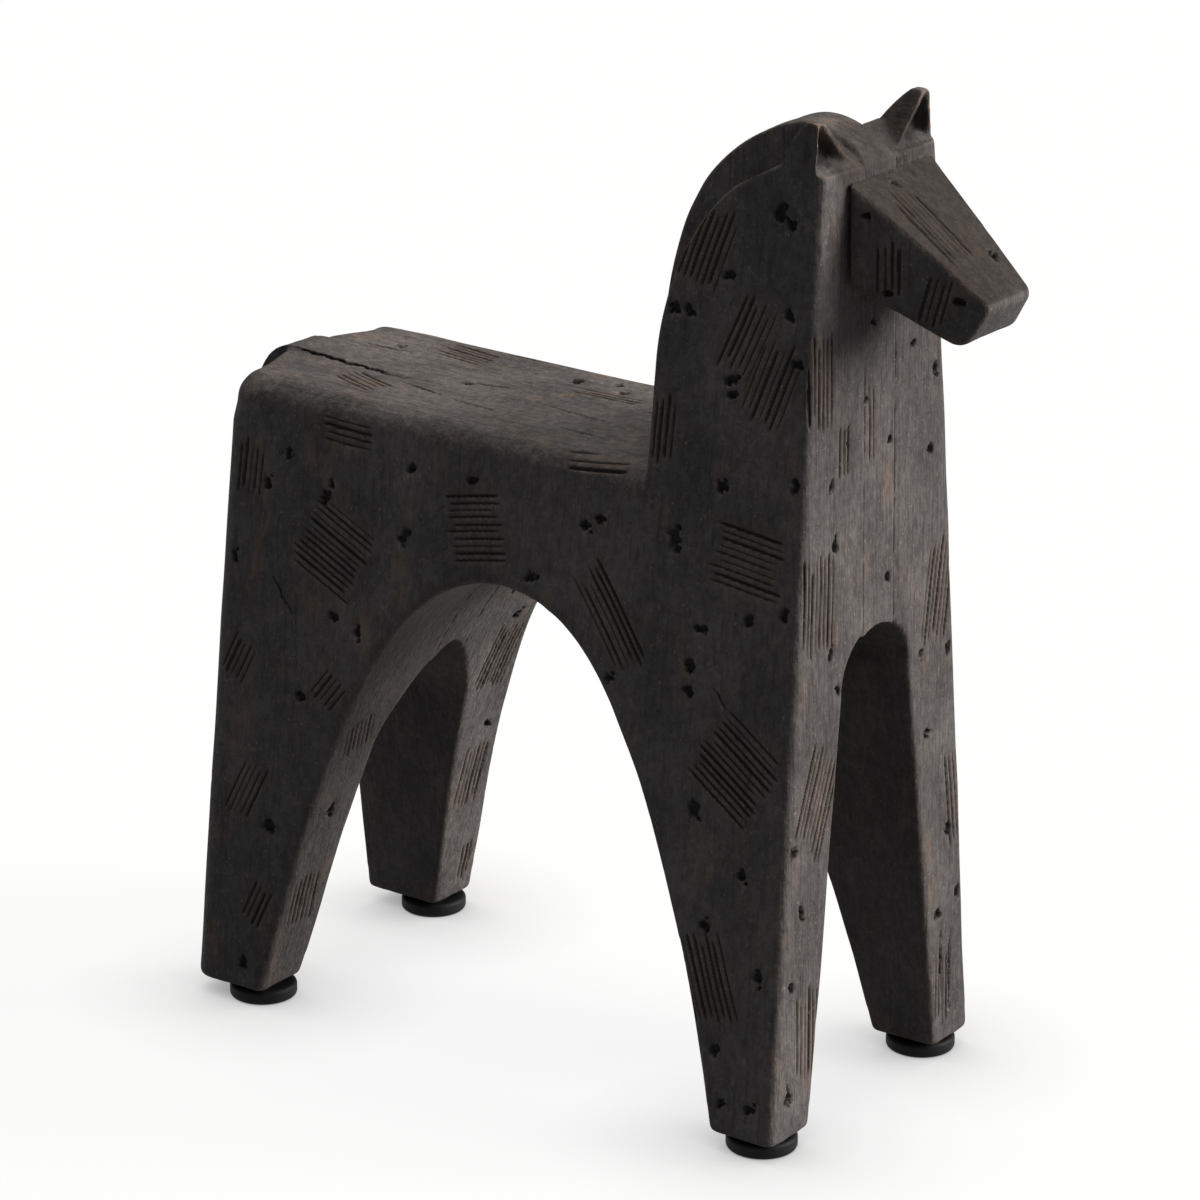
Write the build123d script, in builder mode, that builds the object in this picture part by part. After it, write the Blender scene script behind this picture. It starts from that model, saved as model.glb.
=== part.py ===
from build123d import *
import os

os.makedirs("parts", exist_ok=True)

# Frame: X towards the head, Y to the horse's left, Z up, floor at Z = 0, all in millimetres

# Widths and levels
core_thickness = 16.0
foot_half_width = 55.4
crown_half_width = 29.1
crown_z = 300.0
foot_z = 4.5

# Side outline, from the hind foot round the rump, back, neck and ear to the fore foot
hind_foot_rear_x = -122.2
hind_foot_front_x = -93.2
rump = (-116.4, 198.8)
back_middle = (-35.0, 196.6)
withers = (38.2, 196.2)
neck_overlap = 20.0
neck_low = (38.9, 226.0)
neck_mid = (45.6, 257.0)
neck_high = (55.2, crown_z - 27.0)
nape = (67.0, crown_z - 17.6)
ear_root = (77.4, crown_z - 12.0)
ear_back = (80.4, crown_z - 4.6)
ear_tip_x = 84.4
brow_x = 91.6
brow_z = crown_z - 15.4
fore_foot_front_x = 96.6
fore_foot_rear_x = 73.0

# Belly arch, read from the fore foot over to the hind foot
arch_fore_low = (63.5, 43.0)
arch_fore_mid = (50.0, 82.0)
arch_fore_high = (33.4, 117.5)
arch_fore_top = (11.8, 143.0)
arch_crown = (-9.5, 150.2)
arch_hind_top = (-31.2, 144.6)
arch_hind_high = (-51.8, 124.0)
arch_hind_mid = (-66.8, 95.0)
arch_hind_low = (-81.2, 51.0)

# Gap between left and right legs, half widths against height
gap_foot_half = 33.6
fore_gap_spring = (16.8, 131.0)
fore_gap_crown_z = 149.0
hind_gap_knee = (22.0, 82.0)
hind_gap_haunch = (14.2, 99.0)
hind_gap_crown_z = 112.5

# Core outline: tail, spine, mane crest and forelock
tail_tip = (-118.6, 122.0)
tail_low = (-127.8, 140.0)
tail_back = (-134.0, 168.0)
tail_bend = (-127.8, 190.6)
tail_top = (-112.0, 199.8)
spine_middle = (-40.0, 196.8)
crest_foot = (20.0, 196.4)
crest_low = (22.4, 226.0)
crest_mid = (28.2, 255.6)
crest_high = (41.8, crown_z - 20.6)
crest_shoulder = (56.4, crown_z - 9.8)
poll = (70.6, crown_z - 5.2)
forelock = (80.0, crown_z - 7.0)
core_front_foot_z = 130.0
core_rear_foot_z = 88.0

# Ears
ear_tip_width = 4.0
ear_tip_radius = 2.2
ear_foot_z = crown_z - 17.2
ear_recess = 2.2
ear_ledge_z = crown_z - 14.4
ear_cup_y = 24.0
ear_cup_z = crown_z - 8.9
ear_cup_radius = 4.8
saddle_drop = 0.8

# Muzzle wedge, its root reaching further to the left than to the right
muzzle_top_z = crown_z - 17.6
muzzle_bottom_z = crown_z - 48.4
muzzle_root_right = 18.4
muzzle_root_left = 26.4
muzzle_nose_half = 11.6
nose_x = 135.4
nose_top_z = crown_z - 48.2
nose_bottom_x = 126.3
nose_bottom_z = crown_z - 62.6
nose_top_radius = 4.0
nose_bottom_radius = 6.0
muzzle_edge_radius = 2.2

# Rounded edges
back_edge_radius = 8.0
leg_edge_radius = 3.2
gap_edge_radius = 2.4
foot_edge_radius = 2.0
neck_edge_radius = 1.4
withers_radius = 3.0
crest_edge_radius = 1.4

# Hidden dowels
dowel_diameter = 10.0
dowel_depth_in_side = 14.0
neck_dowel = (62.0, 236.0)
withers_dowel = (62.0, 178.0)
loin_dowel = (-42.0, 174.0)
rump_dowel = (-92.0, 150.0)
muzzle_dowel_diameter = 6.0
muzzle_dowel_in_core = 20.0
muzzle_dowel_in_muzzle = 12.0
muzzle_dowel_upper_z = crown_z - 32.5
muzzle_dowel_lower_z = crown_z - 42.0
dowel_end_chamfer = 0.8
dowel_clearance = 0.1

# Rubber feet and their screws
pad_diameter = 21.0
pad_fore_x = 85.5
pad_hind_x = -101.2
pad_y = 43.6
pad_edge_radius = 1.2
screw_head_diameter = 7.6
screw_head_height = 2.0
screw_head_recess = 2.6
screw_shank_diameter = 3.6
screw_tip_diameter = 1.0
screw_tip_length = 4.0
screw_length_in_leg = 16.0
screw_clearance = 0.1

core_half = core_thickness / 2
splay = (foot_half_width - crown_half_width) / (crown_z - foot_z)
front_lean = (fore_foot_front_x - brow_x) / (brow_z - foot_z)
rear_lean = (rump[0] - hind_foot_rear_x) / (rump[1] - foot_z)


def outer_half(z):
    """Half width over the splayed side faces at height z."""
    return foot_half_width - splay * (z - foot_z)


def front_x(z):
    """Place of the front face at height z."""
    return fore_foot_front_x - front_lean * (z - foot_z)


def rear_x(z):
    """Place of the rear face at height z."""
    return hind_foot_rear_x + rear_lean * (z - foot_z)


def nearest(edges, x, y, z):
    """The edge whose middle is nearest to a point."""
    return edges.sort_by(lambda edge: (edge.position_at(0.5) - Vector(x, y, z)).length)[0]


# Belly arch through both sides, used as a cutter
with BuildPart() as belly_arch:
    with BuildSketch(Plane.XZ.offset(foot_half_width)):
        with BuildLine():
            Spline(
                (fore_foot_rear_x, foot_z),
                arch_fore_low,
                arch_fore_mid,
                arch_fore_high,
                arch_fore_top,
                arch_crown,
                arch_hind_top,
                arch_hind_high,
                arch_hind_mid,
                arch_hind_low,
                (hind_foot_front_x, foot_z),
            )
            Line((hind_foot_front_x, foot_z), (fore_foot_rear_x, foot_z))
        make_face()
    extrude(amount=-2 * foot_half_width)

# Round-headed gap between the fore legs, used as a cutter
with BuildPart() as fore_gap:
    with BuildSketch(Plane.YZ):
        with BuildLine():
            spring_y, spring_z = fore_gap_spring
            Line((-gap_foot_half, foot_z), (-spring_y, spring_z))
            ThreePointArc((-spring_y, spring_z), (0, fore_gap_crown_z), (spring_y, spring_z))
            Line((spring_y, spring_z), (gap_foot_half, foot_z))
            Line((gap_foot_half, foot_z), (-gap_foot_half, foot_z))
        make_face()
    extrude(amount=fore_foot_front_x)

# Lower gap between the hind legs, used as a cutter
with BuildPart() as hind_gap:
    with BuildSketch(Plane.YZ):
        with BuildLine():
            knee_y, knee_z = hind_gap_knee
            haunch_y, haunch_z = hind_gap_haunch
            right_leg = Line((-gap_foot_half, foot_z), (-knee_y, knee_z))
            left_leg = Line((knee_y, knee_z), (gap_foot_half, foot_z))
            Spline(
                (-knee_y, knee_z),
                (-haunch_y, haunch_z),
                (0, hind_gap_crown_z),
                (haunch_y, haunch_z),
                (knee_y, knee_z),
                tangents=[right_leg % 1, left_leg % 0],
            )
            Line((gap_foot_half, foot_z), (-gap_foot_half, foot_z))
        make_face()
    extrude(amount=hind_foot_rear_x)

# Hind block of the right side: leg, rump and back, with the outer edge rounded all along
with BuildPart() as hind_block:
    with BuildSketch(Plane.XZ.offset(core_half)):
        with BuildLine():
            Line((hind_foot_rear_x, foot_z), rump)
            back = ThreePointArc(rump, back_middle, withers)
            buried = Line(back @ 1, back @ 1 + neck_overlap * (back % 1))
            Line(buried @ 1, (withers[0] + neck_overlap, foot_z))
            Line((withers[0] + neck_overlap, foot_z), (hind_foot_rear_x, foot_z))
        make_face()
    extrude(amount=foot_half_width)
    with BuildSketch(Plane.YZ):
        with BuildLine():
            Polyline(
                (-core_half, foot_z),
                (-foot_half_width, foot_z),
                (-crown_half_width, crown_z),
                (-core_half, crown_z),
                close=True,
            )
        make_face()
    extrude(amount=fore_foot_front_x - hind_foot_rear_x, both=True, mode=Mode.INTERSECT)
    back_half = outer_half(back_middle[1])
    rear_z = (foot_z + rump[1]) / 2
    back_edge = nearest(edges(), back_middle[0], -back_half, back_middle[1])
    rear_edge = nearest(edges(), rear_x(rear_z), -outer_half(rear_z), rear_z)
    fillet([back_edge, rear_edge], radius=back_edge_radius)

# Space between the ears, down to a saddle just below the forelock, used as a cutter
with BuildPart() as ear_gap:
    with BuildSketch(Plane.YZ):
        with BuildLine():
            Polyline(
                (ear_tip_width - crown_half_width, crown_z),
                (-core_half, ear_foot_z),
                (-core_half, crown_z),
                close=True,
            )
        make_face()
    extrude(amount=fore_foot_front_x)
    with BuildSketch(Plane.XZ):
        with BuildLine():
            Polyline(
                (poll[0], crown_z),
                (poll[0], poll[1] - saddle_drop),
                (forelock[0], forelock[1] - saddle_drop),
                (front_x(crown_z), brow_z),
                (fore_foot_front_x, brow_z),
                (fore_foot_front_x, crown_z),
                close=True,
            )
        make_face()
    extrude(amount=crown_half_width, mode=Mode.INTERSECT)

# Fore block of the right side: leg, shoulder, neck and ear
with BuildPart() as fore_block:
    neck_lean = (neck_low[0] - withers[0]) / (neck_low[1] - withers[1])
    block_rear_x = withers[0] - neck_lean * (withers[1] - foot_z)
    with BuildSketch(Plane.XZ.offset(core_half)):
        with BuildLine():
            neck_back = Line((block_rear_x, foot_z), neck_low)
            Spline(neck_low, neck_mid, neck_high, nape, tangents=[neck_back % 1, (2, 1)])
            Line(nape, ear_root)
            ThreePointArc(ear_root, ear_back, (ear_tip_x, crown_z))
            Line((ear_tip_x, crown_z), (front_x(crown_z), crown_z))
            Line((front_x(crown_z), crown_z), (fore_foot_front_x, foot_z))
            Line((fore_foot_front_x, foot_z), (block_rear_x, foot_z))
        make_face()
    extrude(amount=foot_half_width)
    with BuildSketch(Plane.YZ):
        with BuildLine():
            Polyline(
                (-core_half, foot_z),
                (-foot_half_width, foot_z),
                (-crown_half_width, crown_z),
                (-core_half, crown_z),
                close=True,
            )
        make_face()
    extrude(amount=fore_foot_front_x - hind_foot_rear_x, both=True, mode=Mode.INTERSECT)
    add(ear_gap.part, mode=Mode.SUBTRACT)
    fillet(nearest(edges(), neck_mid[0], -outer_half(neck_mid[1]), neck_mid[1]), radius=neck_edge_radius)

# Right side: both blocks in one board, with the arch and the leg gaps cut out
with BuildPart() as right_side:
    add(hind_block.part)
    add(fore_block.part)
    # hollow where the neck rises from the back, as far out as the rounded edge
    with BuildSketch(Plane.XZ.offset(core_half)):
        with BuildLine():
            ThreePointArc(back @ 0.5, back @ 0.75, back @ 1)
            Line(withers, neck_low)
            Line(neck_low, (withers[0] + neck_overlap, neck_low[1]))
            Line((withers[0] + neck_overlap, neck_low[1]), (withers[0] + neck_overlap, arch_crown[1]))
            Line((withers[0] + neck_overlap, arch_crown[1]), ((back @ 0.5).X, arch_crown[1]))
            Line(((back @ 0.5).X, arch_crown[1]), back @ 0.5)
        make_face()
        fillet(vertices().sort_by_distance((withers[0], 0, withers[1]))[0], radius=withers_radius)
    extrude(amount=outer_half(withers[1]) - back_edge_radius - core_half)
    add(belly_arch.part, mode=Mode.SUBTRACT)
    add(fore_gap.part, mode=Mode.SUBTRACT)
    add(hind_gap.part, mode=Mode.SUBTRACT)
    # inner edges of the legs, on the outer faces and round the arch
    fore_leg_y = -(gap_foot_half + fore_gap_spring[0]) / 2
    fore_leg_z = (foot_z + fore_gap_spring[1]) / 2
    fore_head_y = -(fore_gap_spring[0] + core_half) / 2
    fore_head_z = (fore_gap_spring[1] + fore_gap_crown_z) / 2
    hind_leg_y = -(gap_foot_half + hind_gap_knee[0]) / 2
    hind_leg_z = (foot_z + hind_gap_knee[1]) / 2
    hind_head_y = -hind_gap_haunch[0]
    hind_head_z = hind_gap_haunch[1]
    fillet(
        [
            nearest(edges(), rear_x(hind_leg_z), hind_leg_y, hind_leg_z),
            nearest(edges(), rear_x(hind_head_z), hind_head_y, hind_head_z),
            nearest(edges(), front_x(fore_leg_z), fore_leg_y, fore_leg_z),
            nearest(edges(), front_x(fore_head_z), fore_head_y, fore_head_z),
            nearest(edges(), arch_hind_low[0], hind_leg_y, arch_hind_low[1]),
            nearest(edges(), arch_hind_mid[0], hind_head_y, arch_hind_mid[1]),
            nearest(edges(), arch_fore_mid[0], fore_leg_y, arch_fore_mid[1]),
            nearest(edges(), arch_fore_top[0], fore_head_y, arch_fore_top[1]),
        ],
        radius=gap_edge_radius,
    )
    # arch edge and front edge, then the foot ends
    middle_z = (foot_z + crown_z) / 2
    arch_edge = nearest(edges(), arch_crown[0], -outer_half(arch_crown[1]), arch_crown[1])
    front_edge = nearest(edges(), front_x(middle_z), -outer_half(middle_z), middle_z)
    fillet([arch_edge, front_edge], radius=leg_edge_radius)
    fillet(faces().filter_by(Plane.XY).group_by(Axis.Z)[0].edges(), radius=foot_edge_radius)
    # ear front set back above the brow, then hollowed
    with BuildSketch(Plane.YZ.offset(front_x(crown_z) - ear_recess)):
        with Locations((-outer_half(ear_ledge_z) / 2, (ear_ledge_z + crown_z) / 2)):
            Rectangle(outer_half(ear_ledge_z), crown_z - ear_ledge_z)
    extrude(amount=fore_foot_front_x, mode=Mode.SUBTRACT)
    ear_tip_y = ear_tip_width / 2 - crown_half_width
    fillet(nearest(edges(), front_x(crown_z) - ear_recess, ear_tip_y, crown_z), radius=ear_tip_radius)
    with Locations((front_x(crown_z) - ear_recess, -ear_cup_y, ear_cup_z)):
        Sphere(ear_cup_radius, mode=Mode.SUBTRACT)
    # dowel sockets and screw holes
    with BuildSketch(Plane.XZ.offset(core_half)):
        with Locations(neck_dowel, withers_dowel, loin_dowel, rump_dowel):
            Circle(dowel_diameter / 2 + dowel_clearance)
    extrude(amount=dowel_depth_in_side + dowel_clearance, mode=Mode.SUBTRACT)
    with BuildSketch(Plane.XY.offset(foot_z)):
        with Locations((pad_fore_x, -pad_y), (pad_hind_x, -pad_y)):
            Circle(screw_shank_diameter / 2 + screw_clearance)
    extrude(amount=screw_length_in_leg + screw_clearance, mode=Mode.SUBTRACT)
right_side.part.label = "right_side"
export_step(right_side.part, "parts/right_side.step")

# Left side: the right side mirrored
with BuildPart() as left_side:
    mirror(right_side.part, about=Plane.XZ)
left_side.part.label = "left_side"
export_step(left_side.part, "parts/left_side.step")

# Core: tail, spine, mane crest and forelock in one board between the sides
with BuildPart() as core:
    with BuildSketch(Plane.XZ.offset(core_half)):
        with BuildLine():
            Line((rear_x(core_rear_foot_z), core_rear_foot_z), tail_tip)
            spine = ThreePointArc(tail_top, spine_middle, crest_foot)
            Spline(tail_tip, tail_low, tail_back, tail_bend, tail_top, tangents=[(-1, 1), spine % 0])
            Spline(
                crest_foot,
                crest_low,
                crest_mid,
                crest_high,
                crest_shoulder,
                poll,
                forelock,
                (brow_x, brow_z),
            )
            Line((brow_x, brow_z), (front_x(core_front_foot_z), core_front_foot_z))
            Line(
                (front_x(core_front_foot_z), core_front_foot_z),
                (rear_x(core_rear_foot_z), core_rear_foot_z),
            )
        make_face()
    extrude(amount=-core_thickness)
    add(belly_arch.part, mode=Mode.SUBTRACT)
    add(fore_gap.part, mode=Mode.SUBTRACT)
    add(hind_gap.part, mode=Mode.SUBTRACT)
    # crest edges; the spine lies flush between the sides
    crest_edges = [nearest(edges(), crest_mid[0], side * core_half, crest_mid[1]) for side in (-1, 1)]
    fillet(crest_edges, radius=crest_edge_radius)
    # dowel holes
    with BuildSketch(Plane.XZ.offset(-core_half)):
        with Locations(neck_dowel, withers_dowel, loin_dowel, rump_dowel):
            Circle(dowel_diameter / 2 + dowel_clearance)
    extrude(amount=core_thickness, mode=Mode.SUBTRACT)
    with BuildSketch(Plane.YZ.offset(front_x(muzzle_bottom_z))):
        with Locations((0, muzzle_dowel_upper_z), (0, muzzle_dowel_lower_z)):
            Circle(muzzle_dowel_diameter / 2 + dowel_clearance)
    extrude(amount=-muzzle_dowel_in_core - dowel_clearance, mode=Mode.SUBTRACT)
core.part.label = "core"
export_step(core.part, "parts/core.step")

# Muzzle: wedge narrowing to the nose, glued and dowelled to the front of the neck
with BuildPart() as muzzle:
    with BuildSketch(Plane.XZ.offset(muzzle_root_right)):
        with BuildLine():
            Polyline(
                (front_x(muzzle_top_z), muzzle_top_z),
                (nose_x, nose_top_z),
                (nose_bottom_x, nose_bottom_z),
                (front_x(muzzle_bottom_z), muzzle_bottom_z),
                close=True,
            )
        make_face()
    extrude(amount=-muzzle_root_right - muzzle_root_left)
    with BuildSketch(Plane.XY.offset(nose_bottom_z)):
        with BuildLine():
            Polyline(
                (front_x(crown_z), -muzzle_root_right),
                (nose_x, -muzzle_nose_half),
                (nose_x, muzzle_nose_half),
                (front_x(crown_z), muzzle_root_left),
                close=True,
            )
        make_face()
    extrude(amount=crown_z - nose_bottom_z, mode=Mode.INTERSECT)
    fillet(nearest(edges().filter_by(Axis.Y), nose_x, 0, nose_top_z), radius=nose_top_radius)
    fillet(nearest(edges().filter_by(Axis.Y), nose_bottom_x, 0, nose_bottom_z), radius=nose_bottom_radius)
    side_faces = faces().sort_by(Axis.Y)
    rim = side_faces[0].edges() + side_faces[-1].edges()
    fillet(rim - faces().sort_by(Axis.X)[0].edges(), radius=muzzle_edge_radius)
    with BuildSketch(Plane.YZ.offset(front_x(crown_z))):
        with Locations((0, muzzle_dowel_upper_z), (0, muzzle_dowel_lower_z)):
            Circle(muzzle_dowel_diameter / 2 + dowel_clearance)
    reach = front_x(muzzle_bottom_z) - front_x(crown_z) + muzzle_dowel_in_muzzle + dowel_clearance
    extrude(amount=reach, mode=Mode.SUBTRACT)
muzzle.part.label = "muzzle"
export_step(muzzle.part, "parts/muzzle.step")

# Cross dowels through the core into both sides
dowel_length = core_thickness + 2 * dowel_depth_in_side
dowel_places = {
    "neck_dowel": neck_dowel,
    "withers_dowel": withers_dowel,
    "loin_dowel": loin_dowel,
    "rump_dowel": rump_dowel,
}
for dowel_name, dowel_place in dowel_places.items():
    with BuildPart() as cross_dowel:
        with BuildSketch(Plane.XZ.offset(-dowel_length / 2)):
            with Locations(dowel_place):
                Circle(dowel_diameter / 2)
        extrude(amount=dowel_length)
        chamfer(edges().filter_by(GeomType.CIRCLE), length=dowel_end_chamfer)
    cross_dowel.part.label = dowel_name
    export_step(cross_dowel.part, "parts/" + dowel_name + ".step")

# Dowels holding the muzzle on the core
muzzle_dowel_places = {
    "muzzle_dowel_upper": muzzle_dowel_upper_z,
    "muzzle_dowel_lower": muzzle_dowel_lower_z,
}
for dowel_name, dowel_z in muzzle_dowel_places.items():
    with BuildPart() as muzzle_dowel:
        with BuildSketch(Plane.YZ.offset(front_x(muzzle_bottom_z) - muzzle_dowel_in_core)):
            with Locations((0, dowel_z)):
                Circle(muzzle_dowel_diameter / 2)
        extrude(amount=muzzle_dowel_in_core + muzzle_dowel_in_muzzle)
        chamfer(edges().filter_by(GeomType.CIRCLE), length=dowel_end_chamfer)
    muzzle_dowel.part.label = dowel_name
    export_step(muzzle_dowel.part, "parts/" + dowel_name + ".step")

# Rubber feet, each with a recess for its screw head
foot_places = {
    "fore_right": (pad_fore_x, -pad_y),
    "fore_left": (pad_fore_x, pad_y),
    "hind_right": (pad_hind_x, -pad_y),
    "hind_left": (pad_hind_x, pad_y),
}
for foot_name, foot_place in foot_places.items():
    with BuildPart() as foot_pad:
        with BuildSketch(Plane.XY):
            with Locations(foot_place):
                Circle(pad_diameter / 2)
        extrude(amount=foot_z)
        fillet(edges().filter_by(GeomType.CIRCLE), radius=pad_edge_radius)
        with BuildSketch(Plane.XY):
            with Locations(foot_place):
                Circle(screw_head_diameter / 2 + screw_clearance)
        extrude(amount=screw_head_recess, mode=Mode.SUBTRACT)
        with BuildSketch(Plane.XY.offset(screw_head_recess)):
            with Locations(foot_place):
                Circle(screw_shank_diameter / 2 + screw_clearance)
        extrude(amount=foot_z, mode=Mode.SUBTRACT)
    foot_pad.part.label = foot_name + "_pad"
    export_step(foot_pad.part, "parts/" + foot_name + "_pad.step")

    # Screw: flat round head in the recess, shank up into the leg, tapered tip
    with BuildPart() as pad_screw:
        with BuildSketch(Plane.XZ):
            with BuildLine():
                Polyline(
                    (0, screw_head_recess - screw_head_height),
                    (screw_head_diameter / 2, screw_head_recess - screw_head_height),
                    (screw_head_diameter / 2, screw_head_recess),
                    (screw_shank_diameter / 2, screw_head_recess),
                    (screw_shank_diameter / 2, foot_z + screw_length_in_leg - screw_tip_length),
                    (screw_tip_diameter / 2, foot_z + screw_length_in_leg),
                    (0, foot_z + screw_length_in_leg),
                    close=True,
                )
            make_face()
        revolve(axis=Axis.Z)
    screw_at_foot = Pos(foot_place[0], foot_place[1], 0) * pad_screw.part
    screw_at_foot.label = foot_name + "_screw"
    export_step(screw_at_foot, "parts/" + foot_name + "_screw.step")
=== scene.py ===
import math

import bmesh
import bpy
import numpy as np
from bpy.props import FloatProperty, FloatVectorProperty, IntProperty, PointerProperty
from mathutils import Matrix, Vector


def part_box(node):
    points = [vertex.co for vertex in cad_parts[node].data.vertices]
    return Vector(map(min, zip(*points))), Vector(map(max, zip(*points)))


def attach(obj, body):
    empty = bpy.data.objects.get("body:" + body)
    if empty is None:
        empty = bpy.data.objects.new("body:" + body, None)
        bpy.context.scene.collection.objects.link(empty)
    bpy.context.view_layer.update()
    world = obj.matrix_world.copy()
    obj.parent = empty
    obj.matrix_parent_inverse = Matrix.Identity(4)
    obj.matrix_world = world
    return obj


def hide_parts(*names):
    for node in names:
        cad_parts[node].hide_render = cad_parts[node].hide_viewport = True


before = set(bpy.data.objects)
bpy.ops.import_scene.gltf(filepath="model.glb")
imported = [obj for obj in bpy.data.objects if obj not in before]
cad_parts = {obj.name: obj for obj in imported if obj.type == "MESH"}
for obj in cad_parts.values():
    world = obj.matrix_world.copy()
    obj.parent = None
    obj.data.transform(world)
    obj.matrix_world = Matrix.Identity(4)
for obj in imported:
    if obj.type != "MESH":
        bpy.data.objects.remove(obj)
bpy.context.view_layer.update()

bl_info = {
    "name": "Carved Horse Ornament",
    "version": (1, 0, 0),
    "blender": (4, 5, 0),
    "location": "3D View > Sidebar > Horse",
    "description": "Dark stained, tool-marked horse on rubber feet, dressed round its joined boards",
    "category": "Add Mesh",
}

MM = 0.001
BOARDS = ("right_side", "core", "left_side")
FEET = ("fore_right", "fore_left", "hind_right", "hind_left")
DOWELS = (
    "neck_dowel",
    "withers_dowel",
    "loin_dowel",
    "rump_dowel",
    "muzzle_dowel_upper",
    "muzzle_dowel_lower",
)

# Directions towards the two wide lights, their tones, their spread in degrees and the room's tone
FRONT_LIGHT = (0.76, 0.52, 0.39)
TOP_LIGHT = (-0.1, 0.15, 0.98)
FRONT_TONE = (1.0, 0.955, 0.92)
TOP_TONE = (1.0, 0.92, 0.83)
LIGHT_SPREAD = 40
ROOM_TONE = (0.92, 0.98, 1.06, 1)

# Left ear, in millimetres: middle and radius of the hollow in its solid, and its front plane
EAR_HOLLOW = (89, 24, 291)
EAR_RADIUS = 4.8
EAR_FRONT = 89.1

# The ear's inner edge, across and up: its tip, its run down to the foot and its length
EAR_TIP = (25.1, 300)
EAR_RUN = (17.1, 17.2)
EAR_RUN_LENGTH = 24.25

# Half the head's width at the crown, and how much it widens for each millimetre down
CROWN_HALF = 29.1
CROWN_Z = 300
SPLAY = 0.089

# Wood left beside the ear's hollow, inside and outside, the height of its floor and the width of its wall
EAR_STRIP = 2.0
EAR_RIM = 1.3
EAR_FLOOR = 286.2
EAR_WALL = 2.6

# How near a point of the ear's front lies to the plane or the ball, and how far aside and up it lies
EAR_NEAR = 0.45
EAR_ASIDE = 10
EAR_FOOT = 285

# Rubber foot: round of its edge, radius and depth of the seat for the screw's head, radius of the hole
PAD_EDGE = 1.3 * MM
SEAT_RADIUS = 3.9 * MM
SEAT_DEPTH = 2.6 * MM
HOLE_RADIUS = 1.9 * MM

# Where the stain has run together on the forehead and painted shade lies inside the left ear, in millimetres:
# fading in over the forehead, and inside the left ear
FOREHEAD_X = (74, 82)
FOREHEAD_Z = (278, 284)
FOREHEAD_ASIDE = (20, 26)
EAR_INSIDE_X = (74, 88.6)
EAR_INSIDE_Y = 9

# Where the brow and the leg ends are softened, in millimetres
BROW_FRONT = 90
BROW_RISE = (279, 287)
LEG_END = 13

# Cells of the noises that wave, scrape and fray the wood, in millimetres
WIDE_WAVE = (34, 26, 46)
CLOSE_WAVE = (13, 11, 17)
LENGTHWISE_FLOW = (22, 3.0, 8)
UPRIGHT_FLOW = (3.4, 3.4, 26)
COARSE_FRAY = (1.7, 1.7, 2.2)
FINE_FRAY = (0.8, 0.8, 0.9)
CRACK_WIDTH = 0.55

# Faces that carry tool marks: which way they look, the two directions a mark is measured along,
# and the stretch from tail to nose that the face lies in, in millimetres
FACES = {
    "right": ((0, -1, 0), (0, 2), (-140, 140)),
    "left": ((0, 1, 0), (0, 2), (-140, 140)),
    "front": ((1, 0, 0), (1, 2), (80, 140)),
    "rear": ((-1, 0, 0), (1, 2), (-140, -95)),
    "top": ((0, 0, 1), (0, 1), (-140, 140)),
    "hind_arch": ((1, 0, 0), (1, 2), (-110, 20)),
    "fore_arch": ((-1, 0, 0), (1, 2), (-10, 80)),
}

# Comb marks: face, place along and up the face, slant in degrees, number of lines, their length
COMB_MARKS = (
    ("right", 55, 261, 72, 7, 27),
    ("right", 70, 238, 68, 6, 26),
    ("right", 79, 226, 70, 7, 28),
    ("right", 43, 208, 88, 5, 21),
    ("right", -105, 170, 85, 5, 18),
    ("right", -68, 187, -2, 4, 22),
    ("right", -72, 151, -26, 12, 28),
    ("right", -20, 167, 11, 10, 22),
    ("right", 20, 196, 6, 5, 25),
    ("right", 29, 150, -55, 6, 36),
    ("right", -107, 110, 65, 5, 16),
    ("right", -72, 107, 51, 5, 13),
    ("right", -102, 70, 65, 5, 22),
    ("right", -96, 34, 66, 4, 16),
    ("right", 75, 175, -6, 9, 26),
    ("right", 75, 115, -34, 12, 28),
    ("right", 70, 51, -70, 8, 30),
    ("front", -30, 228, 90, 6, 30),
    ("front", -18, 206, 90, 3, 17),
    ("front", -4, 209, 90, 2, 27),
    ("front", -31, 163, 90, 8, 32),
    ("front", 33, 151, 80, 7, 36),
    ("front", -31, 105, 68, 8, 34),
    ("front", 44, 85, 98, 5, 34),
    ("front", -36, 35, 90, 6, 32),
    ("front", 38, 24, 91, 4, 28),
    ("top", -78, -19, -20, 5, 22),
    ("top", -70, 23, -7, 6, 22),
    ("top", -11, 14, 2, 3, 25),
    ("hind_arch", 34, 97, 82, 8, 26),
    ("hind_arch", 38, 53, 90, 6, 26),
    ("hind_arch", 46, 18, 92, 3, 16),
    ("hind_arch", -34, 90, 100, 7, 14),
    ("hind_arch", -42, 35, 88, 6, 20),
    ("fore_arch", 34, 92, 84, 7, 24),
    ("fore_arch", -36, 60, 95, 8, 28),
    ("fore_arch", 2, 128, 90, 6, 18),
    ("rear", -30, 150, 86, 7, 26),
    ("rear", 28, 118, 80, 8, 30),
    ("rear", -40, 62, 100, 6, 26),
    ("rear", 42, 44, 92, 7, 24),
    ("rear", 24, 182, 70, 5, 14),
)

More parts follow.
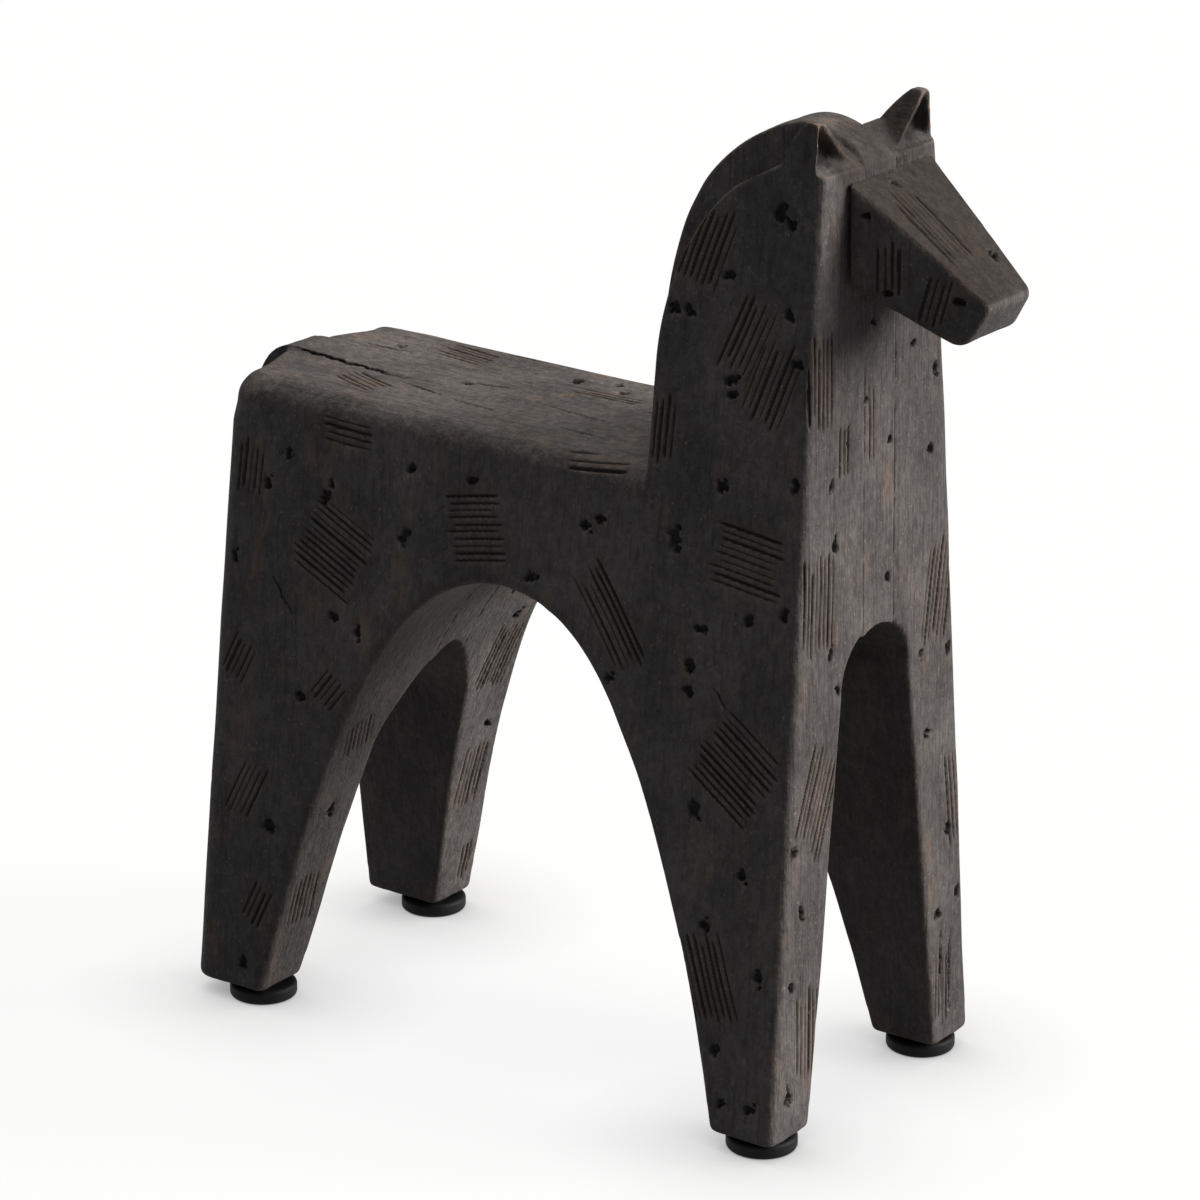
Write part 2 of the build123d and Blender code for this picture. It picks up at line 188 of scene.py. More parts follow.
# Pits: face, place along and up the face, half width and half height in tenths of a millimetre
PITS = (
    ("right", 78, 274, 18, 27),
    ("right", 82, 271, 16, 16),
    ("right", 62, 254, 21, 13),
    ("right", 45, 242, 18, 18),
    ("right", 50, 242, 13, 21),
    ("right", 83, 246, 16, 18),
    ("right", 87, 233, 18, 13),
    ("right", 66, 225, 30, 12),
    ("right", 66, 221, 16, 13),
    ("right", 65, 195, 21, 16),
    ("right", 89, 199, 13, 23),
    ("right", 50, 177, 23, 36),
    ("right", -46, 160, 17, 29),
    ("right", 1, 156, 22, 23),
    ("right", 77, 158, 18, 18),
    ("right", 88, 162, 13, 21),
    ("right", 61, 153, 23, 16),
    ("right", 58, 141, 16, 25),
    ("right", 58, 134, 18, 18),
    ("right", 62, 100, 21, 21),
    ("right", 30, 132, 16, 16),
    ("right", 19, 175, 21, 13),
    ("right", 24, 178, 16, 16),
    ("right", -22, 181, 18, 13),
    ("right", -44, 181, 16, 16),
    ("right", -76, 166, 18, 23),
    ("right", -74, 171, 13, 16),
    ("right", -91, 177, 16, 18),
    ("right", -98, 167, 18, 18),
    ("right", -110, 142, 13, 21),
    ("right", -71, 130, 21, 16),
    ("right", -62, 127, 16, 21),
    ("right", -82, 103, 18, 18),
    ("right", -92, 60, 18, 27),
    ("right", -101, 14, 16, 21),
    ("right", 68, 67, 18, 21),
    ("right", 80, 84, 16, 16),
    ("right", 87, 55, 18, 23),
    ("right", 74, 30, 21, 16),
    ("right", 78, 15, 16, 13),
    ("right", 87, 16, 21, 13),
    ("front", -43, 92, 13, 21),
    ("front", -39, 73, 16, 21),
    ("front", -44, 52, 12, 18),
    ("front", -46, 18, 13, 23),
    ("front", 40, 74, 13, 18),
    ("front", 35, 48, 16, 25),
    ("front", 47, 52, 12, 21),
    ("front", -3, 239, 16, 13),
    ("front", 18, 228, 13, 16),
    ("front", 30, 218, 12, 18),
    ("front", -7, 217, 13, 13),
    ("front", 6, 203, 12, 13),
    ("front", 28, 195, 13, 21),
    ("front", -25, 196, 13, 18),
    ("front", -23, 179, 13, 21),
    ("front", 5, 162, 13, 16),
    ("front", -24, 147, 13, 18),
    ("front", -20, 135, 13, 16),
    ("front", 28, 108, 12, 21),
    ("front", 39, 131, 13, 18),
    ("front", 24, 133, 12, 16),
    ("top", -92, 17, 21, 13),
    ("top", -28, 21, 18, 16),
    ("top", -16, 26, 23, 13),
    ("top", -10, 20, 16, 12),
    ("top", -52, -2, 18, 12),
    ("hind_arch", 40, 70, 18, 18),
    ("hind_arch", 33, 112, 21, 16),
    ("hind_arch", 20, 126, 16, 18),
    ("hind_arch", -38, 64, 18, 21),
    ("fore_arch", 40, 40, 18, 18),
    ("fore_arch", -30, 104, 16, 21),
    ("rear", 34, 160, 18, 18),
    ("rear", -36, 108, 16, 21),
    ("rear", -22, 176, 18, 13),
    ("rear", 46, 24, 16, 18),
)

# Comb marks and pits of the muzzle, given the same way
MUZZLE_COMB_MARKS = (
    ("right", 104, 259, 90, 4, 17),
    ("right", 118, 251, 76, 4, 16),
    ("top", 110, -3, -4, 6, 26),
    ("left", 106, 258, 86, 5, 18),
)
MUZZLE_PITS = (
    ("right", 97, 273, 17, 7),
    ("right", 104, 252, 14, 7),
    ("right", 125, 252, 15, 11),
    ("top", 96, 0, 17, 9),
    ("top", 122, 10, 19, 10),
)

# Cracks: face, one end along and up the face, the other end
CRACKS = (
    ("right", -95, 139, -86, 127),
    ("right", 66, 137, 71, 131),
    ("top", -114, -8, -66, -9),
    ("top", -69, -12, -51, -15),
    ("top", -54, -2, -36, 3),
    ("top", -102, 12, -84, 14),
    ("top", -48, -16, -28, -19),
    ("top", -22, -5, 6, -8),
    ("top", -6, -20, 14, -22),
    ("top", 0, 9, 22, 6),
    ("top", -62, 31, -44, 32),
    ("front", 37, 46, 38, 20),
    ("front", 42, 40, 43, 14),
    ("front", -47, 24, -44, 15),
    ("front", -16, 214, -16, 199),
    ("rear", -14, 150, -12, 128),
    ("hind_arch", 44, 60, 43, 42),
)


# Surfaces and fields

def lattice_noise(points, cell, seed):
    """Smooth noise from -1 to 1: hashed values at the corners of a lattice, blended inside each cell.

    cell is the lattice spacing along each axis; the blend weight is 3t^2 - 2t^3 of the place in the cell."""
    place = points / np.asarray(cell, float)
    base = np.floor(place).astype(np.int64)
    part = place - base
    part = part * part * (3 - 2 * part)
    total = np.zeros(len(points))
    for corner in np.ndindex(2, 2, 2):
        whole = base + np.array(corner)
        code = whole[:, 0] * 73856093 ^ whole[:, 1] * 19349663 ^ whole[:, 2] * 83492791 ^ seed * 2654435761
        code = (code ^ code >> 13) * 1274126177 & 0x7FFFFFFF
        value = (code ^ code >> 15) % 65536 / 32767.5 - 1
        total += value * np.prod(np.where(corner, part, 1 - part), axis=1)
    return total


def soft_step(value, low, high):
    """0 below low, 1 above high and 3t^2 - 2t^3 between them."""
    t = np.clip((value - low) / (high - low), 0, 1)
    return t * t * (3 - 2 * t)


def relaxed(points, edges, passes, share=0.5):
    """Each point moves a share of the way to the mean of its neighbours, once in each pass."""
    first, second = edges.T
    total = len(points)
    neighbours = np.bincount(edges.ravel(), minlength=total)[:, None]
    for _ in range(passes):
        around = np.stack(
            [
                np.bincount(first, column[second], total) + np.bincount(second, column[first], total)
                for column in points.T
            ],
            axis=1,
        )
        points = points + share * (around / neighbours - points)
    return points


def on_face(name, points, normals, place, reach):
    """Which points lie on a named face within reach of a place, and where they are along and up the face."""
    facing, (along, up), (start, end) = FACES[name]
    near = np.flatnonzero(
        (np.abs(points[:, along] - place[0]) < reach)
        & (np.abs(points[:, up] - place[1]) < reach)
        & (points[:, 0] > start)
        & (points[:, 0] < end)
        & (points[:, 1] * facing[1] >= 0)
    )
    near = near[normals[near] @ np.array(facing, float) > 0.35]
    return near, points[near, along] - place[0], points[near, up] - place[1]


def comb_depth(points, normals, marks, pitch, width, seed):
    """Depth from 0 to 1 of groups of parallel gouged lines, and from 0 to 1 how much a group rubs the wood
    beside its lines, which the material paints as rubbed wood with a painted highlight.

    Across a line the cut is a parabola of the given width; along it the cut fades out at both ends.
    Each line has its own length, shift and strength."""
    depth = np.zeros(len(points))
    rubbed_and_lit = np.zeros(len(points))
    chance = np.random.default_rng(seed)
    for face, along, up, slant, lines, length in marks:
        varied = chance.uniform(0, 1, (4, lines))
        near, du, dv = on_face(face, points, normals, (along, up), length / 2 + pitch * lines)
        if not len(near):
            continue
        turn = math.radians(slant)
        run = du * math.cos(turn) + dv * math.sin(turn)
        across = dv * math.cos(turn) - du * math.sin(turn)
        across = across + 0.12 * np.sin(run / 6.3 + along)
        number = np.clip(np.rint(across / pitch + (lines - 1) / 2), 0, lines - 1).astype(int)
        offset = across - (number - (lines - 1) / 2) * pitch - (varied[3][number] - 0.5) * 0.3
        half = length / 2 * (0.84 + 0.16 * varied[0][number])
        run = run - (varied[1][number] - 0.5) * 0.14 * length
        wide = width / 2 * (0.6 + 0.6 * varied[2][number])
        cut = np.clip(1 - (offset / wide) ** 2, 0, 1)
        fade = soft_step(half - np.abs(run), 0, 0.3 * half)
        depth[near] = np.maximum(depth[near], cut * fade * (0.35 + 0.65 * varied[2][number]))
        beside = soft_step(pitch * 0.75 - np.abs(offset), 0, pitch * 0.4)
        rubbed_and_lit[near] = np.maximum(rubbed_and_lit[near], fade * beside)
    return depth, rubbed_and_lit


def pit_depth(points, normals, pits, rough):
    """Depth from 0 to 1 of irregular pits: an ellipse and two smaller rounds beside it, frayed by a noise."""
    depth = np.zeros(len(points))
    for face, along, up, half_width, half_height in pits:
        near, du, dv = on_face(face, points, normals, (along, up), 7)
        wide, high = 0.1 * half_width, 0.1 * half_height
        turn = 0.7 * along + 0.4 * up
        size = np.hypot(du / wide, dv / high)
        beside = np.hypot(du - 0.8 * wide * math.cos(turn), dv - 0.9 * high * math.sin(turn))
        beyond = np.hypot(du + 0.9 * wide * math.cos(2 * turn), dv + 1.1 * high * math.sin(turn))
        size = np.minimum(size, beside / (0.3 * (wide + high)))
        size = np.minimum(size, beyond / (0.22 * (wide + high))) + 0.85 * rough[near]
        depth[near] = np.maximum(depth[near], 1 - soft_step(size, 0.5, 1.1))
    return depth


def crack_depth(points, normals, cracks, rough, width):
    """Depth from 0 to 1 of cracks: distance from a segment, bent by a noise, thinning to both ends."""
    depth = np.zeros(len(points))
    for face, along, up, far_along, far_up in cracks:
        run = np.array((far_along - along, far_up - up), float)
        length = np.hypot(*run)
        middle = ((along + far_along) / 2, (up + far_up) / 2)
        near, du, dv = on_face(face, points, normals, middle, length)
        part = (du * run[0] + dv * run[1]) / length ** 2
        aside = (dv * run[0] - du * run[1]) / length + 0.8 * rough[near]
        thick = width * np.clip(1 - (2 * part) ** 2, 0, 1)
        cut = np.clip(1 - np.abs(aside) / (thick + 1e-6), 0, 1) * (thick > 0.1 * width)
        depth[near] = np.maximum(depth[near], cut)
    return depth


def mirrored_marks(marks, kind):
    """The marks, and the right side's once more, moved a little and turned over for the left side."""
    turned = []
    for mark in marks:
        if mark[0] == "right":
            face, along, up, *rest = mark
            if kind == "comb":
                rest[0] = 180 - rest[0]
            turned.append(("left", along * 0.94 + 5, up * 0.97 + 3, *rest))
    return tuple(marks) + tuple(turned)


# Mesh helpers

def link(obj):
    """Puts an object in the scene and returns it."""
    bpy.context.scene.collection.objects.link(obj)
    return obj


def joined_copies(name, nodes):
    """One mesh of merged copies of the named solids."""
    whole = bmesh.new()
    for node in nodes:
        single = bmesh.new()
        single.from_mesh(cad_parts[node].data)
        bmesh.ops.remove_doubles(single, verts=single.verts, dist=1e-6)
        mesh = bpy.data.meshes.new(name)
        single.to_mesh(mesh)
        single.free()
        whole.from_mesh(mesh)
        bpy.data.meshes.remove(mesh)
    mesh = bpy.data.meshes.new(name)
    whole.to_mesh(mesh)
    whole.free()
    return mesh


def with_modifier(mesh, kind, **settings):
    """The mesh that a modifier makes of a mesh."""
    blank = link(bpy.data.objects.new("blank", mesh))
    modifier = blank.modifiers.new("work", kind)
    for name, value in settings.items():
        setattr(modifier, name, value)
    depsgraph = bpy.context.evaluated_depsgraph_get()
    made = bpy.data.meshes.new_from_object(blank.evaluated_get(depsgraph))
    bpy.data.objects.remove(blank)
    bpy.data.meshes.remove(mesh)
    return made


def read_points(mesh):
    """The places of a mesh, one row for each point."""
    points = np.empty(len(mesh.vertices) * 3, np.float32)
    mesh.vertices.foreach_get("co", points)
    return points.reshape(-1, 3).astype(float)


def read_normals(mesh):
    """The normals of a mesh, one row for each point."""
    normals = np.empty(len(mesh.vertices) * 3, np.float32)
    mesh.vertex_normals.foreach_get("vector", normals)
    return normals.reshape(-1, 3).astype(float)


def read_edges(mesh):
    """The two points of each edge of a mesh."""
    edges = np.empty(len(mesh.edges) * 2, np.int32)
    mesh.edges.foreach_get("vertices", edges)
    return edges.reshape(-1, 2)


def write_points(mesh, points):
    """Moves the points of a mesh."""
    mesh.vertices.foreach_set("co", points.astype(np.float32).ravel())
    mesh.update()


def write_field(mesh, name, values):
    """Stores one number for each point, for the materials to read."""
    field = mesh.attributes.get(name) or mesh.attributes.new(name, "FLOAT", "POINT")
    field.data.foreach_set("value", values.astype(np.float32))


def thinned(mesh, triangles):
    """The mesh with its flat stretches thinned to about a number of triangles."""
    mesh.calc_loop_triangles()
    share = min(1.0, triangles / len(mesh.loop_triangles))
    return with_modifier(
        mesh, "DECIMATE", decimate_type="COLLAPSE", ratio=share, use_collapse_triangulate=True
    )


def board_between(name, mesh, low, high):
    """The part of a mesh between two planes across Y, with flat faces closing the cuts."""
    board = bmesh.new()
    board.from_mesh(mesh)
    for y, keeps in ((low, 1), (high, -1)):
        if y is None:
            continue
        everything = board.verts[:] + board.edges[:] + board.faces[:]
        bmesh.ops.bisect_plane(
            board,
            geom=everything,
            dist=1e-7,
            plane_co=(0, y, 0),
            plane_no=(0, -keeps, 0),
            clear_outer=True,
        )
        rim = [edge for edge in board.edges if edge.is_boundary]
        closing = bmesh.ops.edgeloop_fill(board, edges=rim)["faces"]
        for face in closing:
            face.smooth = False
            face.normal_update()
            if face.normal.y * keeps > 0:
                face.normal_flip()
        bmesh.ops.triangulate(board, faces=closing, ngon_method="EAR_CLIP")
    made = bpy.data.meshes.new(name)
    board.to_mesh(made)
    board.free()
    return made


def revolved(name, profile, centre, around):
    """A surface of revolution: each profile point (radius, height) carried once round a vertical axis."""
    turn = np.linspace(0, 2 * math.pi, around, endpoint=False)
    radius, height = np.array(profile).T
    ring = np.stack([np.outer(radius, np.cos(turn)), np.outer(radius, np.sin(turn))], axis=-1)
    points = np.concatenate([ring, np.broadcast_to(height[:, None, None], ring.shape[:2] + (1,))], axis=-1)
    points = points.reshape(-1, 3) + np.array(centre)
    row, column = np.meshgrid(np.arange(len(radius)), np.arange(around), indexing="ij")
    step = (row + 1) % len(radius)
    after = (column + 1) % around
    quads = np.stack(
        [row * around + column, row * around + after, step * around + after, step * around + column], axis=-1
    )
    mesh = bpy.data.meshes.new(name)
    mesh.from_pydata(points.tolist(), [], quads.reshape(-1, 4).tolist())
    mesh.polygons.foreach_set("use_smooth", np.ones(len(mesh.polygons), bool))
    mesh.update()
    return mesh


def placed(name, mesh, material, slot, *nodes):
    """A finished piece that stands for CAD nodes and rides with the body."""
    mesh.materials.clear()
    mesh.materials.append(material)
    piece = link(bpy.data.objects.new(name, mesh))
    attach(piece, "root")
    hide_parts(*nodes)
    return piece


# Carving

def softened(points, edges, inside, passes):
    """Relaxes only the points inside a region, with the points round it held."""
    number = np.cumsum(inside) - 1
    kept = edges[inside[edges].any(axis=1)]
    held = np.unique(kept[~inside[kept]])
    number[held] = inside.sum() + np.arange(len(held))
    some = np.concatenate([points[inside], points[held]])
    fixed = some[inside.sum():].copy()
    for _ in range(passes):
        some = relaxed(some, number[kept], 1)
        some[inside.sum():] = fixed
    points[inside] = some[:inside.sum()]


def rump_rounding(points, corner, radius, crisp):
    """Draws the top rear edge of the rump in to a round whose radius grows from the middle to the corners.

    Behind and above the corner's middle a point is drawn in to a circle seen from the side; beyond it
    sideways too, to a ball. Ahead of and below the middle the limit widens until it clears the wood."""
    x, y, z = corner
    aside = np.abs(points[:, 1])
    share = soft_step(aside, 0.1 * y, y)
    bend = crisp + (radius - crisp) * share
    middle = np.stack([x - radius + bend, np.minimum(aside, y), z + radius - bend], axis=1)
    away = np.stack([points[:, 0], aside, points[:, 2]], axis=1) - middle
    ahead = np.maximum(away[:, 0], 0)
    below = np.maximum(-away[:, 2], 0)
    beyond = np.flatnonzero((aside > 0.3 * y) & (ahead < 0.02) & (below < 0.02))
    middle[:, 0] += ahead
    middle[:, 2] -= below
    away = np.stack([np.minimum(away[:, 0], 0), away[:, 1], np.maximum(away[:, 2], 0)], axis=1)[beyond]
    limit = (bend + 0.1 * ahead + 0.25 * below)[beyond]
    away *= np.minimum(1, limit / np.maximum(np.linalg.norm(away, axis=1), 1e-9))[:, None]
    drawn = middle[beyond] + away
    drawn[:, 1] *= np.sign(points[beyond, 1])
    points[beyond] = drawn


def hollow_ears(points, depth):
    """Hollows the front of each ear to a rounded triangle between inner strip, outer rim and brow.

    The depth is 3t^2 - 2t^3 of the distance from the nearest of the three sides, up to the full depth."""
    x, y, z = (points / MM).T
    aside = np.abs(y)
    ball = np.linalg.norm(np.stack([x, aside, z], axis=1) - np.array(EAR_HOLLOW), axis=1)
    front = (np.abs(x - EAR_FRONT) < EAR_NEAR) | ((np.abs(ball - EAR_RADIUS) < EAR_NEAR) & (x < EAR_FRONT))
    front &= (z > EAR_FOOT) & (aside > EAR_ASIDE)
    tip_y, tip_z = EAR_TIP
    across, drop = EAR_RUN
    inner = (drop * (aside - tip_y) - across * (z - tip_z)) / EAR_RUN_LENGTH
    outer = CROWN_HALF + SPLAY * (CROWN_Z - z) - aside
    inside = np.minimum(np.minimum(inner - EAR_STRIP, outer - EAR_RIM), z - EAR_FLOOR)
    hollow = np.flatnonzero(front)
    points[hollow, 0] = EAR_FRONT * MM - depth * soft_step(inside[hollow], 0, EAR_WALL)


def stain_and_ear_shade(place, normals):
    """How dark the wood is painted, from 0 to 1: thick stain between the ears, and painted shade on the inner
    face of the left ear.

    On the forehead it is the product of one soft step along each axis."""
    x, y, z = place.T
    start, end = EAR_INSIDE_X
    # Painted shade on the left ear's inner face, the side turned away from the front light
    ear_shade = (x > start) & (x < end) & (y > EAR_INSIDE_Y) & (z > EAR_FOOT) & (normals[:, 1] < -0.25)
    forehead = 0.75 * soft_step(x, *FOREHEAD_X) * soft_step(z, *FOREHEAD_Z)
    forehead = forehead * (1 - soft_step(np.abs(y), *FOREHEAD_ASIDE))
    return np.maximum(0.8 * ear_shade, forehead)


def carve(mesh, carving, marks, pits, cracks, shaped=None, hollows=()):
    """Rounds, waves and cuts a fine mesh, and stores for each point its edge wear with a painted highlight,
    the painted shade in its cuts and hollows, and its thick stain, with painted shade inside the left ear.
    """
    edges = read_edges(mesh)
    points = read_points(mesh)
    if shaped:
        shaped(points, edges)
    points = relaxed(points, edges, carving.rounding)
    write_points(mesh, points)
    normals = read_normals(mesh)
    place = points / MM
    wave = 0.6 * lattice_noise(place, WIDE_WAVE, 3) + 0.4 * lattice_noise(place, CLOSE_WAVE, 5)
    rough = 0.6 * lattice_noise(place, COARSE_FRAY, 7) + 0.5 * lattice_noise(place, FINE_FRAY, 17)
    level = soft_step(normals[:, 2], 0.5, 0.8)
    flow = level * lattice_noise(place, LENGTHWISE_FLOW, 9)
    flow = flow + 0.5 * (1 - level) * lattice_noise(place, UPRIGHT_FLOW, 13)
    comb, rubbed_and_lit = comb_depth(place, normals, marks, carving.comb_pitch / MM, carving.comb_width / MM, 11)
    pit = pit_depth(place, normals, pits, rough)
    crack = crack_depth(place, normals, cracks, rough, CRACK_WIDTH)
    # How far a point stands out from the mean of a wide neighbourhood
    flat = relaxed(points, edges, carving.rounding * 2)
    edge_wear_and_highlight = np.einsum("ij,ij->i", points - flat, normals) / MM
    depth = carving.wave_depth * (0.5 + 0.5 * wave) + carving.flow_depth * (0.5 + 0.5 * flow)
    depth = depth + carving.chip_depth * soft_step(edge_wear_and_highlight, 0.1, 0.4) * soft_step(rough + wave, 0.3, 1.1)
    depth = depth + np.maximum(carving.comb_depth * comb, carving.pit_depth * np.maximum(pit, crack))
    write_points(mesh, points - normals * depth[:, None])
    # Painted shade: the bottoms of comb lines, pits and cracks are darkened
    cut = np.maximum(soft_step(comb, 0.03, 0.4), np.maximum(pit, crack))
    # Painted shade: the ears' hollows darken towards their bottom, where their walls shadow them
    for centre, radius in hollows:
        x, y, z = (place - np.array(centre)).T
        inside = (np.hypot(y, z) < 1.6 * radius) & (x > -radius) & (normals[:, 0] > -0.2)
        cut = np.maximum(cut, 0.8 * inside * soft_step(-x, 0.3 * radius, 0.85 * radius))
    # Wear on the standing-out edges and beside comb lines, which the material also paints as a highlight
    write_field(mesh, "edge_wear_and_highlight", np.maximum(soft_step(edge_wear_and_highlight, 0.02, 0.3), 0.25 * rubbed_and_lit))
    write_field(mesh, "cut", cut)
    write_field(mesh, "shade", stain_and_ear_shade(place, normals))
    return mesh


# Materials

class Nodes:
    """Short words for building a node tree."""

    def __init__(self, name):
        self.material = bpy.data.materials.get(name) or bpy.data.materials.new(name)
        self.material.use_nodes = True
        self.tree = self.material.node_tree
        self.tree.nodes.clear()
        self.output = self.add("ShaderNodeOutputMaterial")

    def add(self, kind, **settings):
        node = self.tree.nodes.new(kind)
        for name, value in settings.items():
            setattr(node, name, value)
        return node

    def join(self, source, target):
        self.tree.links.new(source, target)

    def put(self, socket, value):
        if isinstance(value, bpy.types.NodeSocket):
            self.join(value, socket)
        else:
            socket.default_value = value

    def math(self, operation, first, second=0.0, clamp=False):
        node = self.add("ShaderNodeMath", operation=operation, use_clamp=clamp)
        self.put(node.inputs[0], first)
        self.put(node.inputs[1], second)
        return node.outputs[0]

    def mix(self, share, first, second, blend="MIX"):
        node = self.add("ShaderNodeMix", data_type="RGBA", blend_type=blend)
        self.put(node.inputs[0], share)
        self.put(node.inputs[6], first)
        self.put(node.inputs[7], second)
        return node.outputs[2]

    def ramp(self, value, low, high):
        node = self.add("ShaderNodeMapRange", interpolation_type="SMOOTHSTEP")
        self.put(node.inputs["Value"], value)
        node.inputs["From Min"].default_value = low
        node.inputs["From Max"].default_value = high
        return node.outputs["Result"]

    def noise(self, stretch, detail=3.0, roughness=0.55):
        place = self.add("ShaderNodeTexCoord").outputs["Object"]
        mapping = self.add("ShaderNodeMapping")
        self.join(place, mapping.inputs["Vector"])
        mapping.inputs["Scale"].default_value = stretch
        node = self.add("ShaderNodeTexNoise")
        self.join(mapping.outputs["Vector"], node.inputs["Vector"])
        node.inputs["Scale"].default_value = 1.0
        node.inputs["Detail"].default_value = detail
        node.inputs["Roughness"].default_value = roughness
        return node.outputs["Fac"]

    def field(self, name):
        return self.add("ShaderNodeAttribute", attribute_type="GEOMETRY", attribute_name=name).outputs["Fac"]

    def surface(self, colour, roughness, height, distance, strength):
        shader = self.add("ShaderNodeBsdfPrincipled")
        self.put(shader.inputs["Base Color"], colour)
        self.put(shader.inputs["Roughness"], roughness)
        bump = self.add("ShaderNodeBump")
        bump.inputs["Strength"].default_value = strength
        bump.inputs["Distance"].default_value = distance
        self.join(height, bump.inputs["Height"])
        self.join(bump.outputs["Normal"], shader.inputs["Normal"])
        self.join(shader.outputs["BSDF"], self.output.inputs["Surface"])
        return shader


def stained_wood(finish):
    """Matt dark stain: mottled and streaked, brown wood rubbed bare on edges with a painted highlight there,
    painted shade in the cuts, and pale specks.
    """
    nodes = Nodes("stained_wood")
    upright = nodes.noise((700, 700, 40), 5.0, 0.62)
    lengthwise = nodes.noise((45, 700, 700), 5.0, 0.62)
    normal = nodes.add("ShaderNodeNewGeometry").outputs["Normal"]
    split = nodes.add("ShaderNodeSeparateXYZ")
    nodes.join(normal, split.inputs[0])
    level = nodes.ramp(nodes.math("ABSOLUTE", split.outputs["Z"]), 0.55, 0.8)
    grain = nodes.add("ShaderNodeMix", data_type="FLOAT")
    nodes.join(level, grain.inputs[0])
    nodes.join(upright, grain.inputs[2])
    nodes.join(lengthwise, grain.inputs[3])
    grain = grain.outputs[0]
    blotch = nodes.noise((30, 30, 20), 6.0, 0.66)
    patch = nodes.noise((110, 110, 42), 6.0, 0.7)
    speck = nodes.noise((1100, 1100, 900), 2.0)
    stain = nodes.mix(nodes.ramp(blotch, 0.38, 0.64), finish.dark_stain[:], finish.stain[:])
    stain = nodes.mix(nodes.math("MULTIPLY", nodes.ramp(grain, 0.5, 0.66), 0.5), stain, finish.streak[:])
    bare = nodes.math("MULTIPLY", nodes.ramp(patch, 0.54, 0.7), 0.4)
    # Rubbed edges: bare brown wood, and also a painted highlight along the edges
    rub_and_highlight = nodes.math("MULTIPLY", nodes.field("edge_wear_and_highlight"), nodes.ramp(patch, 0.34, 0.58))
    rub_and_highlight = nodes.math("MAXIMUM", nodes.math("MULTIPLY", rub_and_highlight, 0.9, clamp=True), bare)
    mottle = nodes.ramp(nodes.noise((420, 420, 280), 5.0, 0.68), 0.34, 0.66)
    stain = nodes.mix(nodes.math("SUBTRACT", 1.0, mottle), stain, finish.mottle[:], "MULTIPLY")
    colour = nodes.mix(rub_and_highlight, stain, finish.rubbed_and_lit[:])
    dust = nodes.math("MULTIPLY", nodes.ramp(speck, 0.62, 0.74), 0.55)
    colour = nodes.mix(dust, colour, finish.dust[:])
    # Darker where the stain lies thick on the forehead and the muzzle's top, painted shade on the left ear's
    # inner face, and darker at the muzzle's root
    colour = nodes.mix(nodes.field("shade"), colour, finish.thick[:], "MULTIPLY")
    # Painted shade at the bottom of cuts, pits, cracks and the ears' hollows
    colour = nodes.mix(nodes.math("MULTIPLY", nodes.field("cut"), 0.95, clamp=True), colour, finish.cut_shade[:])
    roughness = nodes.add("ShaderNodeMapRange")
    nodes.join(blotch, roughness.inputs["Value"])
    roughness.inputs["To Min"].default_value = 0.86
    roughness.inputs["To Max"].default_value = 0.62
    height = nodes.math("ADD", grain, nodes.math("MULTIPLY", speck, 0.3))
    height = nodes.math("ADD", height, nodes.math("MULTIPLY", nodes.noise((330, 330, 260), 4.0, 0.6), 1.3))
    shader = nodes.surface(colour, roughness.outputs["Result"], height, 0.0006, 0.7)
    shader.inputs["Specular IOR Level"].default_value = 0.2
    return nodes.material


def dowel_wood(finish):
    """Plain turned beech: fine grain along the rod."""
    nodes = Nodes("dowel_wood")
    grain = nodes.noise((900, 60, 900), 4.0)
    colour = nodes.mix(nodes.ramp(grain, 0.35, 0.7), finish.dowel[:], finish.dowel_grain[:])
    nodes.surface(colour, 0.6, grain, 0.0002, 0.4)
    return nodes.material


def foot_rubber(finish):
    """Black moulded rubber with a fine grain and pale scuffs."""
    nodes = Nodes("foot_rubber")
    grain = nodes.noise((1500, 1500, 1500), 2.0)
    scuff = nodes.ramp(nodes.noise((160, 160, 90), 5.0), 0.55, 0.75)
    colour = nodes.mix(nodes.math("MULTIPLY", scuff, 0.5), finish.rubber[:], finish.rubber_scuff[:])
    shader = nodes.surface(colour, 0.62, grain, 0.0001, 0.4)
    shader.inputs["Specular IOR Level"].default_value = 0.2
    return nodes.material


def screw_steel(finish):
    """Bright zinc plate with fine turning lines."""
    nodes = Nodes("screw_steel")
    rings = nodes.noise((300, 300, 2600), 2.0)
    colour = nodes.mix(nodes.ramp(rings, 0.4, 0.7), finish.steel[:], finish.steel_dull[:])
    shader = nodes.surface(colour, 0.34, rings, 0.00005, 0.3)
    shader.inputs["Metallic"].default_value = 1.0
    return nodes.material


# Sizes and colours

def length_prop(name, text, default):
    """A length in metres that the user may change."""
    return FloatProperty(
        name=name, description=text, default=default, min=0.0, subtype="DISTANCE", unit="LENGTH"
    )


def number_prop(name, text, default):
    """A number from 0 up that the user may change."""
    return FloatProperty(name=name, description=text, default=default, min=0.0)


def angle_prop(name, text, degrees):
    """An angle, given in degrees, that the user may change."""
    return FloatProperty(name=name, description=text, default=math.radians(degrees), subtype="ANGLE")


def place_prop(name, text, default):
    """A point that the user may move."""
    return FloatVectorProperty(name=name, description=text, default=default, subtype="TRANSLATION")


def count_prop(name, text, default):
    """A whole number that the user may change."""
    return IntProperty(name=name, description=text, default=default, min=0)


def colour_prop(name, text, default):
    """A colour that the user may change."""
    return FloatVectorProperty(
        name=name, description=text, default=default + (1.0,), size=4, min=0.0, max=1.0, subtype="COLOR"
    )


